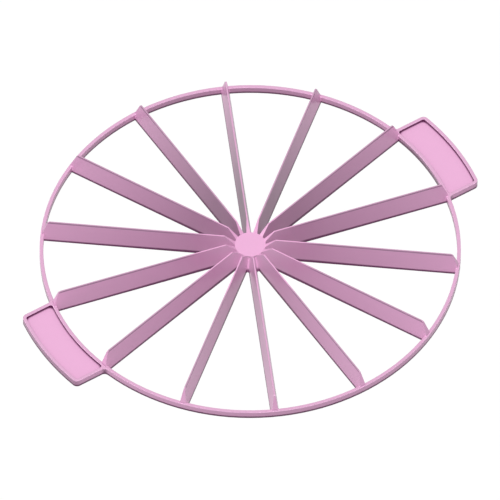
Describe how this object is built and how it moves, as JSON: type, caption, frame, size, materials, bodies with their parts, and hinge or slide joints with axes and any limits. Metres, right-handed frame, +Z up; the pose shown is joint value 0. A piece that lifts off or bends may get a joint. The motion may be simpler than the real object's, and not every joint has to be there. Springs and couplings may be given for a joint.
{
  "type": "cake portion marker",
  "caption": "Round cake portion marker with a ring, radial wedge blades that meet at a flat hub, and a tray-shaped handle on either side.",
  "frame": {"origin": "centre of the flat base, on the axis of the ring", "axes": "+Z up out of the base towards the cutting edges, +X along the line through both handles"},
  "size_m": [0.313, 0.27, 0.0166],
  "materials": {
    "moulded_plastic": "satin-gloss light pink moulded plastic"
  },
  "bodies": {
    "root": {"portion_marker": "moulded_plastic"}
  },
  "joints": []
}
